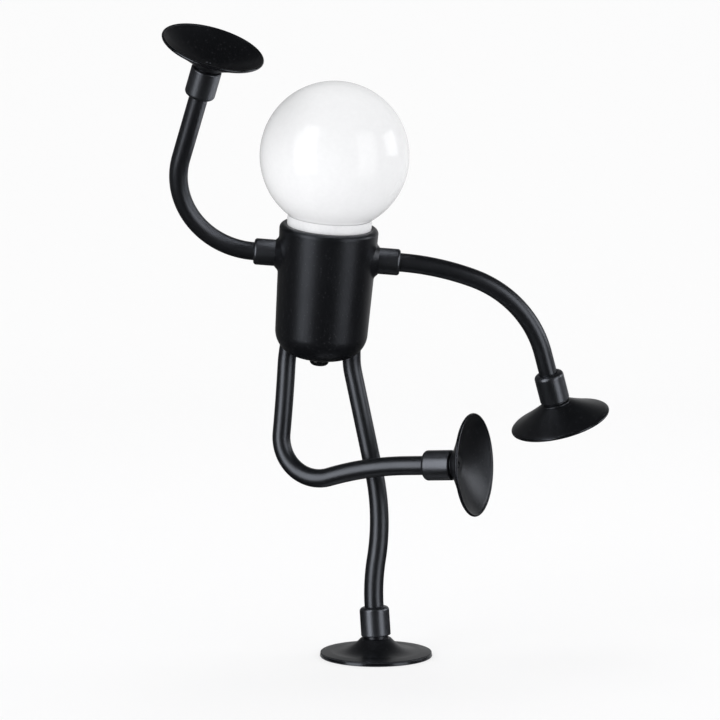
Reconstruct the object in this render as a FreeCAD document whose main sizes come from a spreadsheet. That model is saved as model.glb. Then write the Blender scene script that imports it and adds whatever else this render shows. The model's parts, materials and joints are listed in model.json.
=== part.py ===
import FreeCAD, Part
import math
import os

import Sketcher

# Robot shaped desk lamp: an opal globe on a tapered torso that holds a battery, with four
# bendable limbs that each end in a suction cup. It stands on one pressed cup, and the origin
# is the middle of that cup's underside, with Z up and the front of the lamp towards -Y.

DOC = FreeCAD.newDocument("desk_lamp")
V = FreeCAD.Vector
Z_UP = V(0, 0, 1)

# name, real size in millimetres or degrees
SIZES = [
    # torso shell
    ("torso_bottom_radius", 24.8), ("torso_top_radius", 26.8), ("cell_head_room", 4.3),
    ("bottom_rounding", 14.0), ("rim_rounding", 2.6), ("floor_wall", 3.0),
    ("mouth_radius", 23.1), ("cavity_inset", 1.0), ("inner_rounding", 11.5),
    ("torso_side_angle", 4.4), ("torso_front_angle", 9.5), ("plate_depth", 10.6),
    ("pillar_radius", 2.6), ("pillar_circle", 15.5), ("pillar_length", 9.0), ("pillar_turn", 90.0),
    # shoulders
    ("nut_plate_gap", 0.83), ("boss_stand", 1.67), ("boss_radius", 7.4), ("boss_root", 23.4),
    ("boss_rounding", 2.5),
    ("shoulder_length", 11.5), ("shoulder_radius", 7.15), ("shoulder_edge", 1.6),
    ("stud_radius", 3.0), ("stud_clearance", 0.1), ("nut_seat", 21.4), ("nut_seat_radius", 6.2),
    ("nut_height", 3.0), ("nut_width", 10.0), ("stud_past_nut", 0.8),
    # hips
    ("hip_spread", 17.4), ("hip_drop", 0.6), ("hip_splay_angle", 4.0), ("hip_boss_radius", 7.2),
    ("hip_boss_length", 15.0), ("hip_socket_depth", 11.0), ("hip_shank_radius", 2.0),
    ("hip_nut_height", 3.0), ("hip_nut_width", 7.0), ("hip_shank_past_nut", 0.8),
    # globe, collar and its bayonet seat
    ("globe_radius", 40.0), ("globe_wall", 1.6), ("globe_neck_length", 3.6), ("globe_neck_gap", 0.35),
    ("collar_radius", 22.8), ("collar_wall", 2.2), ("collar_skirt", 8.3), ("collar_gap", 0.15),
    ("seat_clearance", 0.2), ("seat_wall", 2.4), ("seat_height", 8.5), ("seat_flange", 2.0),
    ("seat_flange_radius", 13.0), ("lug_depth", 1.2), ("lug_height", 2.0), ("lug_width", 5.0),
    ("lug_drop", 4.4), ("lug_root", 0.8), ("lug_clearance", 0.1), ("bayonet_turn", 30.0),
    # light engine
    ("plate_thickness", 2.0), ("plate_clearance", 0.3), ("led_board_radius", 12.6),
    ("led_board_thickness", 1.2), ("led_size", 3.0), ("led_height", 0.8), ("led_circle", 8.0),
    ("led_count", 8), ("screw_radius", 1.25), ("screw_clearance", 0.05), ("screw_head_radius", 2.2),
    ("screw_head_height", 1.5), ("screw_length", 10.0), ("screw_slot_width", 0.6),
    ("screw_slot_depth", 0.8), ("screw_tip_gap", 0.6),
    # power
    ("cell_radius", 9.15), ("cell_length", 34.2), ("cell_rounding", 0.8), ("cell_front", 2.0),
    ("cell_floor", 21.5), ("cradle_wall", 1.6), ("cradle_end", 1.5), ("cradle_clearance", 0.1),
    ("cradle_back_radius", 13.55), ("cradle_plate_radius", 8.3),
    ("contact_radius", 4.0), ("contact_thickness", 0.4), ("board_width", 26.0),
    ("board_thickness", 1.6), ("board_bottom", 8.0), ("board_top", 50.0), ("post_width", 4.0),
    ("post_depth", 3.2), ("post_spread", 8.0), ("port_height", 16.0), ("port_width", 9.0),
    ("port_thickness", 3.2), ("port_length", 11.0), ("port_wall", 0.4), ("port_clearance", 0.2),
    ("port_back", 3.0), ("tongue_thickness", 0.7), ("tongue_width", 6.0), ("tongue_setback", 1.0),
    ("plug_width", 12.6), ("plug_thickness", 6.8), ("plug_recess_gap", 0.3),
    # switch
    ("switch_side", 11.0), ("switch_top", 12.5), ("switch_neck_radius", 4.4),
    ("switch_clearance", 0.1), ("plunger_radius", 2.2), ("plunger_clearance", 0.05),
    ("plunger_head_radius", 3.0), ("plunger_head_height", 1.4), ("plunger_head_base", 4.6),
    ("chamber_clearance", 0.1), ("button_radius", 5.25), ("button_gap", 1.7), ("button_bottom", 5.2),
    ("button_rounding", 2.4), ("button_travel", 1.5),
    # limbs
    ("tube_radius", 5.0), ("bore_radius", 3.3), ("sleeve_clearance", 0.3), ("core_side", 4.4),
    ("joint_gap", 0.3), ("shank_clearance", 0.1), ("arm_socket_depth", 8.0), ("core_reach", 2.5),
    ("leg_bend_radius", 30.0), ("tip_socket_depth", 7.5),
    # end ferrules and cup pins
    ("ferrule_radius", 8.1), ("ferrule_length", 16.0), ("ferrule_tube_edge", 2.2),
    ("ferrule_mouth_edge", 0.7), ("ferrule_mouth_radius", 7.2), ("head_recess", 2.0),
    ("partition", 2.0), ("pin_radius", 1.6), ("pin_clearance", 0.05), ("pin_head_radius", 2.6),
    ("pin_head_height", 1.6), ("pin_flange_radius", 5.4), ("pin_flange_height", 1.0),
    ("pin_barb_radius", 2.6), ("pin_barb_height", 1.0), ("pin_play", 0.15), ("pin_depth", 4.2),
    # suction cups
    ("cup_neck_radius", 6.5), ("cup_shoulder_radius", 7.2), ("cup_shoulder", 1.2),
    ("cup_radius", 27.5), ("cup_depth", 12.9), ("cup_outer_bow", 200.0), ("cup_inner_bow", 60.0),
    ("cup_lip", 1.3), ("cup_lip_rounding", 0.55), ("cup_floor", 3.4), ("cup_floor_radius", 5.5),
    ("dimple_radius", 2.6), ("dimple_depth", 1.0),
    ("foot_radius", 30.8), ("foot_lip", 2.4), ("foot_lip_rounding", 0.95), ("foot_rim_rise", 0.5),
    ("foot_rim_width", 6.0), ("foot_flare_radius", 20.0), ("foot_shoulder_radius", 8.4),
    ("foot_mouth_height", 11.2), ("foot_neck_root", 5.0), ("foot_hollow_radius", 24.0),
    ("foot_hollow", 1.4), ("ankle_side_angle", 3.7), ("ankle_back_angle", 3.0),
    # how the limbs are posed: each arm's plane leans forward, and the free leg's shin turns forward
    ("left_arm_angle", 22.0), ("right_arm_angle", 13.6), ("free_leg_yaw_angle", 23.0),
    ("free_leg_side_angle", 3.2), ("free_leg_front_angle", 3.0),
    # the stretches of each limb from its root: their lengths, and how far they turn
    ("left_arm_1_length", 16.7), ("left_arm_1_turn", 22.3), ("left_arm_2_length", 59.0),
    ("left_arm_2_turn", 80.1), ("left_arm_3_length", 36.9),
    ("right_arm_1_length", 40.9), ("right_arm_1_turn", 16.4), ("right_arm_2_length", 59.2),
    ("right_arm_2_turn", 54.4), ("right_arm_3_length", 12.2),
    ("free_leg_1_length", 37.3), ("free_leg_1_turn", -2.3), ("free_leg_2_length", 43.1),
    ("free_leg_2_turn", 112.0), ("free_leg_3_length", 45.6), ("free_leg_3_turn", -14.3),
    ("free_leg_4_length", 11.1),
    ("standing_leg_1_length", 55.3), ("standing_leg_2_length", 47.8), ("standing_leg_2_turn", -20.9),
    ("standing_leg_3_length", 26.0), ("standing_leg_3_turn", 12.7),
]

# the parts of each limb's free length at which it bends in the model
BEND_SHARES = {
    "left_arm": (0.16, 0.5, 0.85),
    "right_arm": (0.16, 0.5, 0.85),
    "free_leg": (0.14, 0.5, 0.86),
    "standing_leg": (0.16, 0.5, 0.85),
}
# a cut goes on this far past the solid that it opens
OVERRUN = 1.0
# where the three lugs of the bayonet lie round the torso's axis
LUG_ANGLES = (90.0, 210.0, 330.0)


class Size:
    """A number that remembers how it is worked out from the sheet, so that a feature can be bound to it."""

    def __init__(self, value, text):
        self.value = float(value)
        self.text = text

    def _join(self, other, sign, value):
        return Size(value, "(%s %s %s)" % (self.text, sign, as_size(other).text))

    def __add__(self, other):
        return self._join(other, "+", self.value + as_size(other).value)

    def __sub__(self, other):
        return self._join(other, "-", self.value - as_size(other).value)

    def __mul__(self, other):
        return self._join(other, "*", self.value * as_size(other).value)

    def __truediv__(self, other):
        return self._join(other, "/", self.value / as_size(other).value)

    def __radd__(self, other):
        return as_size(other) + self

    def __rsub__(self, other):
        return as_size(other) - self

    def __rmul__(self, other):
        return as_size(other) * self

    def __neg__(self):
        return Size(-self.value, "(-%s)" % self.text)

    def __float__(self):
        return self.value


def root(number):
    return Size(math.sqrt(number.value), "sqrt(%s)" % number.text)


def as_size(number):
    if isinstance(number, Size):
        return number
    return Size(number, "%.6g" % number)


def make_sheet():
    sheet = DOC.addObject("Spreadsheet::Sheet", "Sizes")
    for row, (name, value) in enumerate(SIZES, start=1):
        sheet.set("A%d" % row, name)
        sheet.set("B%d" % row, "%g" % value)
        sheet.setAlias("B%d" % row, name)
    DOC.recompute()
    return {name: Size(sheet.get(name), "Sizes." + name) for name, _ in SIZES}


S = make_sheet()


def size(name):
    return S[name]


def mm(name):
    return S[name].value


def bind(obj, prop, number):
    """Gives a property its value, and ties it to the sheet where it comes from there."""
    number = as_size(number)
    if "Sizes." in number.text:
        obj.setExpression(prop, number.text)
    else:
        setattr(obj, prop, number.value)


def origin_plane(body, role):
    for feature in body.Origin.OriginFeatures:
        if feature.Role == role:
            return feature
    raise RuntimeError("no origin plane " + role)


def new_body(name):
    body = DOC.addObject("PartDesign::Body", name)
    body.Label = name
    return body


def new_sketch(body, name, role="XZ_Plane", shift=0):
    sketch = body.newObject("Sketcher::SketchObject", name)
    sketch.AttachmentSupport = [(origin_plane(body, role), "")]
    sketch.MapMode = "FlatFace"
    if as_size(shift).value or "Sizes." in as_size(shift).text:
        sketch.setExpression(".AttachmentOffset.Base.z", as_size(shift).text)
    return sketch


def closed_outline(sketch, corners):
    """A closed outline through corners. A corner is (x, y) or (x, y, radius): with a radius, an arc
    leads from it to the next corner, bowed to the left for a positive radius."""
    first = sketch.GeometryCount
    points = [V(as_size(c[0]).value, as_size(c[1]).value, 0) for c in corners]
    count = len(points)
    for i, corner in enumerate(corners):
        a, b = points[i], points[(i + 1) % count]
        if len(corner) < 3:
            sketch.addGeometry(Part.LineSegment(a, b), False)
            continue
        radius = as_size(corner[2]).value
        middle = (a + b) * 0.5
        half = (b - a).Length / 2
        left = V(-(b - a).y, (b - a).x, 0).normalize()
        rise = abs(radius) - math.sqrt(radius * radius - half * half)
        top = middle + left * math.copysign(rise, radius)
        arc = Part.Arc(a, top, b)
        sketch.addGeometry(arc, False)
    for i in range(count):
        line, after = first + i, first + (i + 1) % count
        ends = arc_ends(sketch, line, points[i], points[(i + 1) % count])
        begins = arc_ends(sketch, after, points[(i + 1) % count], points[(i + 2) % count])
        sketch.addConstraint(Sketcher.Constraint("Coincident", line, ends[1], after, begins[0]))
    for i, corner in enumerate(corners):
        line = first + i
        begin = arc_ends(sketch, line, points[i], points[(i + 1) % count])[0]
        hold_point(sketch, line, begin, corner[0], corner[1])
        if len(corner) > 2:
            radius = as_size(corner[2])
            index = sketch.addConstraint(Sketcher.Constraint("Radius", line, abs(radius.value)))
            if "Sizes." in radius.text:
                sketch.setExpression("Constraints[%d]" % index, "abs(%s)" % radius.text)


def arc_ends(sketch, index, a, b):
    """Which end of a curve lies at a and which at b: (1, 2) or (2, 1)."""
    start = sketch.getPoint(index, 1)
    if (start - a).Length <= (start - b).Length:
        return 1, 2
    return 2, 1


def hold_point(sketch, index, end, x, y):
    """Holds a curve's end at (x, y) by two dimensions that follow the sheet."""
    for kind, axis, number in (("DistanceX", -2, as_size(x)), ("DistanceY", -1, as_size(y))):
        if number.value == 0 and "Sizes." not in number.text:
            sketch.addConstraint(Sketcher.Constraint("PointOnObject", index, end, axis))
            continue
        at = sketch.addConstraint(Sketcher.Constraint(kind, -1, 1, index, end, number.value))
        if "Sizes." in number.text:
            sketch.setExpression("Constraints[%d]" % at, number.text)


def revolve(body, corners, name="profile"):
    """Adds a solid turned about the body's Z axis."""
    sketch = new_sketch(body, body.Name + "_" + name)
    closed_outline(sketch, corners)
    turned = body.newObject("PartDesign::Revolution", body.Name + "_" + name + "_turn")
    turned.Profile = sketch
    turned.ReferenceAxis = (sketch, ["V_Axis"])
    turned.Angle = 360
    DOC.recompute()
    return turned


def turned_body(name, corners):
    body = new_body(name)
    revolve(body, corners)
    return body


def ring_edges(shape, radius, height, axis=V(0, 0, 1)):
    """The names of the circular edges of this radius at this height along the axis."""
    found = []
    for number, edge in enumerate(shape.Edges, start=1):
        curve = edge.Curve
        if not isinstance(curve, Part.Circle):
            continue
        if abs(curve.Radius - radius) < 0.02 and abs(curve.Center.dot(axis) - height) < 0.02:
            found.append("Edge%d" % number)
    if not found:
        raise RuntimeError("no ring of radius %.3f at %.3f" % (radius, height))
    return found


def round_rings(body, rings, radius):
    """Rounds the rings, given as (radius, height), of a turned body."""
    base = body.Tip
    names = []
    for ring_radius, height in rings:
        names += ring_edges(base.Shape, as_size(ring_radius).value, as_size(height).value)
    fillet = body.newObject("PartDesign::Fillet", body.Name + "_rounding")
    fillet.Base = (base, names)
    bind(fillet, "Radius", radius)
    DOC.recompute()
    return fillet


def primitive(kind, name, place=None, **sizes):
    obj = DOC.addObject("Part::" + kind, name)
    for prop, number in sizes.items():
        bind(obj, prop, number)
    if place is not None:
        obj.Placement = place
    return obj


def placed(obj, x=0, y=0, z=0, rotation=None):
    """Places a primitive, with each coordinate tied to the sheet where it comes from there."""
    values = [as_size(n) for n in (x, y, z)]
    obj.Placement = FreeCAD.Placement(V(*[n.value for n in values]), rotation or FreeCAD.Rotation())
    for axis, number in zip("xyz", values):
        if "Sizes." in number.text:
            obj.setExpression(".Placement.Base." + axis, number.text)
    return obj


def joined(name, parts):
    fuse = DOC.addObject("Part::MultiFuse", name)
    fuse.Shapes = parts
    return fuse


def cut(name, base, tools):
    tool = tools[0] if len(tools) == 1 else joined(name + "_tools", tools)
    result = DOC.addObject("Part::Cut", name)
    result.Base = base
    result.Tool = tool
    return result


def turn_to(direction):
    """The rotation that turns +Z to this direction."""
    return FreeCAD.Rotation(Z_UP, direction)


ALONG_X = FreeCAD.Rotation(V(0, 1, 0), 90)
ALONG_MINUS_X = FreeCAD.Rotation(V(0, 1, 0), -90)
ALONG_Y = FreeCAD.Rotation(V(1, 0, 0), -90)


def spun(shape, degrees):
    copy = shape.copy()
    copy.rotate(V(0, 0, 0), Z_UP, degrees)
    return copy


def feature(name, shape, place=None):
    """A sub-part whose shape is worked out in code."""
    obj = DOC.addObject("Part::Feature", name)
    obj.Shape = shape
    obj.Placement = place or FreeCAD.Placement()
    return obj


# The limbs' centre lines


class Trail:
    """A centre line of tangent straight and round stretches, with its heading at every point."""

    def __init__(self, start, heading):
        self.pieces = []
        self.point = V(start)
        self.heading = V(heading).normalize()

    def run(self, length, degrees=0.0, towards=None):
        """Goes on for length, and bends by degrees towards a direction across the heading."""
        bend = None
        if degrees:
            side = V(towards) * math.copysign(1.0, degrees)
            bend = (side - self.heading * side.dot(self.heading)).normalize()
        piece = (V(self.point), V(self.heading), bend, length, math.radians(abs(degrees)))
        self.pieces.append(piece)
        self.point, self.heading = walk(piece, length)

    def length(self):
        return sum(piece[3] for piece in self.pieces)

    def at(self, distance):
        """The point and the heading this far along."""
        for piece in self.pieces[:-1]:
            if distance <= piece[3]:
                return walk(piece, distance)
            distance -= piece[3]
        return walk(self.pieces[-1], distance)

    def edges(self, start, end):
        """The edges from one distance along the line to another."""
        out, base = [], 0.0
        for piece in self.pieces:
            low, high = max(start - base, 0.0), min(end - base, piece[3])
            base += piece[3]
            if high - low < 1e-6:
                continue
            a, b = walk(piece, low)[0], walk(piece, high)[0]
            if piece[2] is None:
                out.append(Part.LineSegment(a, b).toShape())
            else:
                out.append(Part.Arc(a, walk(piece, (low + high) / 2)[0], b).toShape())
        return out

    def backwards(self):
        other = Trail(self.point, self.heading * -1)
        for piece in reversed(self.pieces):
            end, heading = walk(piece, piece[3])
            bend = None
            if piece[2] is not None:
                angle = piece[4]
                bend = piece[2] * math.cos(angle) - piece[1] * math.sin(angle)
            other.pieces.append((end, heading * -1, bend, piece[3], piece[4]))
            other.point, other.heading = V(piece[0]), piece[1] * -1
        return other


def walk(piece, distance):
    start, heading, bend, length, angle = piece
    if bend is None:
        return start + heading * distance, V(heading)
    radius = length / angle
    turned = distance / radius
    point = start + heading * (radius * math.sin(turned)) + bend * (radius * (1 - math.cos(turned)))
    return point, heading * math.cos(turned) + bend * math.sin(turned)


def steer(trail, heading, radius):
    """Bends the trail to a new heading on an arc of this radius."""
    turn = math.degrees(trail.heading.getAngle(heading))
    trail.run(radius * math.radians(turn), turn, heading)


def plate_bottom():
    """The heat plate lies above the cell, its cradle and some room for the wires."""
    cradle_top = size("cell_floor") + size("cell_length") + size("contact_thickness") + size("cradle_end")
    return cradle_top + size("cell_head_room")


def plate_top():
    return plate_bottom() + size("plate_thickness")


def torso_height():
    return plate_bottom() + size("plate_depth")


def shoulder_height():
    """The shoulders lie so high that their nuts just clear the heat plate."""
    return plate_bottom() - size("nut_width") / math.sqrt(3) - size("nut_plate_gap")


def boss_face():
    """How far out each shoulder boss ends: it stands a little out of the tapered wall."""
    low, high = size("torso_bottom_radius"), size("torso_top_radius")
    wall = low + (high - low) * shoulder_height() / torso_height()
    return wall + size("boss_stand")


def sphere_height(radius, ball):
    """How far below the globe's middle a ball of this size has this radius."""
    return root(ball * ball - radius * radius)


def globe_neck_radius():
    return size("collar_radius") - size("collar_wall") - size("lug_clearance")


def globe_rise():
    """The globe's middle above the torso's rim: its neck stands just clear of the bayonet seat."""
    seat_top = plate_top() + size("seat_height") - torso_height()
    drop = sphere_height(globe_neck_radius(), size("globe_radius"))
    return seat_top + size("globe_neck_gap") + size("globe_neck_length") + drop


TORSO_ROTATION = (FreeCAD.Rotation(V(0, 1, 0), mm("torso_side_angle"))
                  * FreeCAD.Rotation(V(1, 0, 0), mm("torso_front_angle")))


def torso_direction(x, y, z):
    return TORSO_ROTATION.multVec(V(x, y, z))


def hip_heading(side):
    splay = math.radians(mm("hip_splay_angle"))
    return torso_direction(side * math.sin(splay), 0, -math.cos(splay))


def ankle_heading():
    """The way up along the ankle ferrule of the pressed foot."""
    side, back = math.radians(mm("ankle_side_angle")), math.radians(mm("ankle_back_angle"))
    return V(-math.tan(side), math.tan(back), 1).normalize()


def stretches(name):
    """A limb's stretches from the sheet, from its root on: (length, turn in degrees)."""
    out = []
    while "%s_%d_length" % (name, len(out) + 1) in S:
        stretch = "%s_%d" % (name, len(out) + 1)
        turn = stretch + "_turn"
        out.append((mm(stretch + "_length"), mm(turn) if turn in S else 0.0))
    return out


def standing_trail():
    """The standing leg, built up from the foot to the hip and returned from the hip down."""
    up = ankle_heading()
    start = V(0, 0, mm("foot_mouth_height"))
    trail = Trail(start + up * (mm("ferrule_length") - mm("tip_socket_depth")), up)
    trail.run(mm("tip_socket_depth"))
    for length, turn in reversed(stretches("standing_leg")):
        trail.run(length, turn, V(1, 0, 0))
    steer(trail, hip_heading(1) * -1, mm("leg_bend_radius"))
    trail.run(mm("hip_socket_depth"))
    return trail.backwards()


STANDING = standing_trail()


def torso_origin():
    mouth = STANDING.at(mm("hip_socket_depth"))[0]
    return mouth - torso_direction(mm("hip_spread"), 0, mm("hip_drop"))


TORSO = FreeCAD.Placement(torso_origin(), TORSO_ROTATION)


def torso_point(x, y, z):
    return TORSO.multVec(V(x, y, z))


def on_torso_axis(height):
    """The place of a piece whose own 0 is on the torso's axis, this far up."""
    return TORSO * FreeCAD.Placement(V(0, 0, float(height)), FreeCAD.Rotation())


def free_leg_trail():
    depth = mm("hip_socket_depth")
    mouth = torso_point(-mm("hip_spread"), 0, mm("hip_drop"))
    heading = hip_heading(-1)
    trail = Trail(mouth - heading * depth, heading)
    trail.run(depth)
    side, front = math.radians(mm("free_leg_side_angle")), math.radians(mm("free_leg_front_angle"))
    down = V(-math.tan(side), -math.tan(front), -1).normalize()
    steer(trail, down, mm("leg_bend_radius"))
    yaw = math.radians(mm("free_leg_yaw_angle"))
    add_stretches(trail, "free_leg", V(math.cos(yaw), -math.sin(yaw), 0))
    return trail


def arm_trail(name, side):
    reach = boss_face().value + mm("shoulder_length")
    outward = torso_direction(side, 0, 0)
    start = torso_point(side * (reach - mm("arm_socket_depth")), 0, shoulder_height().value)
    trail = Trail(start, outward)
    trail.run(mm("arm_socket_depth"))
    lean = math.radians(mm(name + "_angle"))
    raised = V(0, -math.sin(lean), math.cos(lean))
    add_stretches(trail, name, raised * -side)
    return trail


def add_stretches(trail, name, side):
    """Adds a limb's stretches, which all bend in the plane of the heading and side, and its tip's socket."""
    normal = trail.heading.cross(side)
    for length, turn in stretches(name):
        trail.run(length, turn, normal.cross(trail.heading))
    trail.run(mm("tip_socket_depth"))


TRAILS = {
    "left_arm": arm_trail("left_arm", -1),
    "right_arm": arm_trail("right_arm", 1),
    "free_leg": free_leg_trail(),
    "standing_leg": STANDING,
}


def limb_side(name):
    """A direction across the limb in the plane that it bends in."""
    for piece in TRAILS[name].pieces:
        if piece[2] is not None and piece[4] > math.radians(9):
            plane = piece[1].cross(piece[2])
    return plane


def bend_points(name):
    """The three places where the limb bends in the model: (distance, point, heading, axis)."""
    trail = TRAILS[name]
    root = mm("hip_socket_depth") if "leg" in name else mm("arm_socket_depth")
    free = trail.length() - root - mm("tip_socket_depth")
    normal = limb_side(name)
    out = []
    for number, share in enumerate(BEND_SHARES[name]):
        distance = root + free * share
        point, heading = trail.at(distance)
        across = (normal - heading * normal.dot(heading)).normalize()
        axis = across if number != 1 else heading.cross(across).normalize()
        out.append((distance, point, heading, axis))
    return out


def tube_along(edges, radius):
    path = Part.Wire(edges)
    start = path.Edges[0].valueAt(path.Edges[0].FirstParameter)
    heading = path.Edges[0].tangentAt(path.Edges[0].FirstParameter)
    ring = Part.Wire([Part.Circle(start, heading, radius).toShape()])
    return path.makePipeShell([ring], True, False)


def bar_along(edges, side, across):
    """A square bar along the edges, with two of its faces square to the across direction."""
    path = Part.Wire(edges)
    start = path.Edges[0].valueAt(path.Edges[0].FirstParameter)
    heading = path.Edges[0].tangentAt(path.Edges[0].FirstParameter)
    u = (across - heading * across.dot(heading)).normalize() * (side / 2)
    v = heading.cross(u).normalize() * (side / 2)
    corners = [start + u + v, start - u + v, start - u - v, start + u - v]
    ring = Part.makePolygon(corners + corners[:1])
    return path.makePipeShell([ring], True, False)


def barrel(point, axis, radius, width):
    return Part.makeCylinder(radius, width, point - axis * (width / 2), axis)


def core_link(name, start, end, at_start, at_end):
    """One link of a limb's bendable core: hollowed round the bend at its start, round at its end."""
    side = mm("core_side")
    normal = limb_side(name)
    solid = bar_along(TRAILS[name].edges(start, end), side, normal)
    if at_end is not None:
        axis = at_end[3]
        solid = single(solid.fuse(barrel(at_end[1], axis, side / 2, side)))
    if at_start is not None:
        clear = side / 2 + mm("joint_gap")
        solid = single(solid.cut(barrel(at_start[1], at_start[3], clear, side * 2)))
    return solid


def single(shape):
    """The one solid of a shape."""
    if len(shape.Solids) != 1:
        raise RuntimeError("one solid expected, %d found" % len(shape.Solids))
    return shape.Solids[0]


def hex_nut(width, height, hole):
    """A nut that stands on the XY plane."""
    corner = width / math.sqrt(3)
    angles = [math.radians(30 + 60 * i) for i in range(7)]
    points = [V(corner * math.cos(a), corner * math.sin(a), 0) for a in angles]
    nut = Part.Face(Part.makePolygon(points)).extrude(V(0, 0, height))
    bore = Part.makeCylinder(hole, height * 3, V(0, 0, -height))
    return nut.cut(bore)


# The torso and what it holds


def torso_outside():
    height, bottom, top = torso_height(), size("torso_bottom_radius"), size("torso_top_radius")
    body = turned_body("torso_outside", [(0, 0), (bottom, 0), (top, height), (0, height)])
    round_rings(body, [(bottom, 0)], size("bottom_rounding"))
    round_rings(body, [(top, height)], size("rim_rounding"))
    return body


def torso_cavity():
    height, floor, mouth = torso_height(), size("floor_wall"), size("mouth_radius")
    low = mouth - size("cavity_inset")
    body = turned_body("torso_cavity", [(0, floor), (low, floor), (mouth, height), (0, height)])
    round_rings(body, [(low, floor)], size("inner_rounding"))
    return body


def torso_shell():
    outside = torso_outside()
    walls = cut("torso_walls", outside, [torso_cavity()])
    fittings = joined("torso_fittings", hip_bosses() + screw_pillars() + board_posts() + nut_pads())
    inside = DOC.addObject("Part::MultiCommon", "torso_inside")
    inside.Shapes = [fittings, outside]
    solid = joined("torso_solid", [walls, inside] + shoulder_bosses())
    DOC.recompute()
    rounded_solid = DOC.addObject("Part::Fillet", "torso_rounded")
    rounded_solid.Base = solid
    radius = mm("boss_rounding")
    rounded_solid.Edges = [(number, radius, radius) for number in boss_roots(solid.Shape)]
    shell = cut("torso_shell", rounded_solid, shoulder_holes() + hip_holes() + pillar_holes()
                + [switch_hole()] + port_holes())
    shell.Placement = TORSO
    return shell


def boss_roots(shape):
    """The numbers of the edges where the shoulder bosses rise out of the torso's wall."""
    found = []
    for number, edge in enumerate(shape.Edges, start=1):
        box = edge.BoundBox
        outward = abs(box.Center.x) > mm("torso_bottom_radius") - mm("boss_stand")
        level = abs(box.Center.z - shoulder_height().value) < mm("boss_radius") * 2
        plain = isinstance(edge.Curve, (Part.Circle, Part.Line))
        if outward and level and not plain:
            found.append(number)
    return found


def shoulder_bosses():
    out = []
    reach = boss_face() - size("boss_root")
    for side, turn in ((1, ALONG_X), (-1, ALONG_MINUS_X)):
        cone = primitive("Cone", "shoulder_boss", Radius1=size("boss_radius") + reach,
                         Radius2=size("boss_radius"), Height=reach)
        out.append(placed(cone, side * size("boss_root"), 0, shoulder_height(), turn))
    return out


def shoulder_holes():
    out = []
    for side, turn in ((1, ALONG_X), (-1, ALONG_MINUS_X)):
        hole = primitive("Cylinder", "shoulder_hole", Radius=size("stud_radius") + size("stud_clearance"),
                         Height=boss_face())
        out.append(placed(hole, side * OVERRUN, 0, shoulder_height(), turn))
    return out


def nut_pads():
    """Flat pads inside the shell's round wall for the shoulder nuts."""
    out = []
    for side, turn in ((1, ALONG_X), (-1, ALONG_MINUS_X)):
        pad = primitive("Cylinder", "nut_pad", Radius=size("nut_seat_radius"),
                        Height=size("boss_root") - size("nut_seat"))
        out.append(placed(pad, side * size("nut_seat"), 0, shoulder_height(), turn))
    return out


def hip_direction(side):
    """The way down through a hip socket, in the torso's own frame."""
    splay = math.radians(mm("hip_splay_angle"))
    return V(side * math.sin(splay), 0, -math.cos(splay))


def hip_point(side, depth):
    """A point on a hip socket's axis, this far up from the socket's mouth, in the torso's own frame."""
    return V(side * mm("hip_spread"), 0, mm("hip_drop")) - hip_direction(side) * depth


def hip_bosses():
    out = []
    for side in (1, -1):
        boss = primitive("Cylinder", "hip_boss", Radius=size("hip_boss_radius"),
                         Height=size("hip_boss_length") - size("floor_wall") / 2)
        boss.Placement = FreeCAD.Placement(hip_point(side, mm("floor_wall") / 2),
                                           turn_to(hip_direction(side) * -1))
        out.append(boss)
    return out


def hip_holes():
    out = []
    below = size("hip_drop") + OVERRUN
    for side in (1, -1):
        up = turn_to(hip_direction(side) * -1)
        socket = primitive("Cylinder", "hip_socket", Radius=size("tube_radius") + size("sleeve_clearance"),
                           Height=size("hip_socket_depth") + below)
        socket.Placement = FreeCAD.Placement(hip_point(side, -below.value), up)
        shank = primitive("Cylinder", "hip_shank_hole", Height=size("hip_boss_length"),
                          Radius=size("hip_shank_radius") + size("shank_clearance"))
        shank.Placement = FreeCAD.Placement(hip_point(side, OVERRUN), up)
        out += [socket, shank]
    return out


def pillar_places():
    circle = mm("pillar_circle")
    angles = [math.radians(mm("pillar_turn") + 120 * i) for i in range(3)]
    return [V(circle * math.cos(a), circle * math.sin(a), 0) for a in angles], angles


def screw_pillars():
    """Three pillars below the heat plate, each joined to the wall by a rib."""
    out = []
    foot = plate_bottom().value - mm("pillar_length")
    places, angles = pillar_places()
    for place, angle in zip(places, angles):
        pillar = primitive("Cylinder", "screw_pillar", Radius=size("pillar_radius"),
                           Height=size("pillar_length"))
        pillar.Placement = FreeCAD.Placement(V(place.x, place.y, foot), FreeCAD.Rotation())
        rib = primitive("Box", "pillar_rib", Length=size("mouth_radius") - size("pillar_circle"),
                        Width=size("pillar_radius"), Height=size("pillar_length"))
        turn = FreeCAD.Rotation(Z_UP, math.degrees(angle))
        corner = V(place.x, place.y, foot) + turn.multVec(V(0, -mm("pillar_radius") / 2, 0))
        rib.Placement = FreeCAD.Placement(corner, turn)
        out += [pillar, rib]
    return out


def pillar_holes():
    out = []
    top = plate_bottom().value
    for place in pillar_places()[0]:
        hole = primitive("Cylinder", "pillar_hole", Radius=size("screw_radius") + size("screw_clearance"),
                         Height=size("screw_length"))
        depth = screw_depth_below_plate() + mm("screw_tip_gap")
        hole.Placement = FreeCAD.Placement(V(place.x, place.y, top - depth), FreeCAD.Rotation())
        out.append(hole)
    return out


def screw_depth_below_plate():
    return mm("screw_length") - mm("seat_flange") - mm("plate_thickness")


def board_back():
    """How far behind the torso's axis the control board's front face lies."""
    return mm("cell_radius") - mm("cell_front") + mm("cradle_clearance") + mm("cradle_wall")


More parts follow.
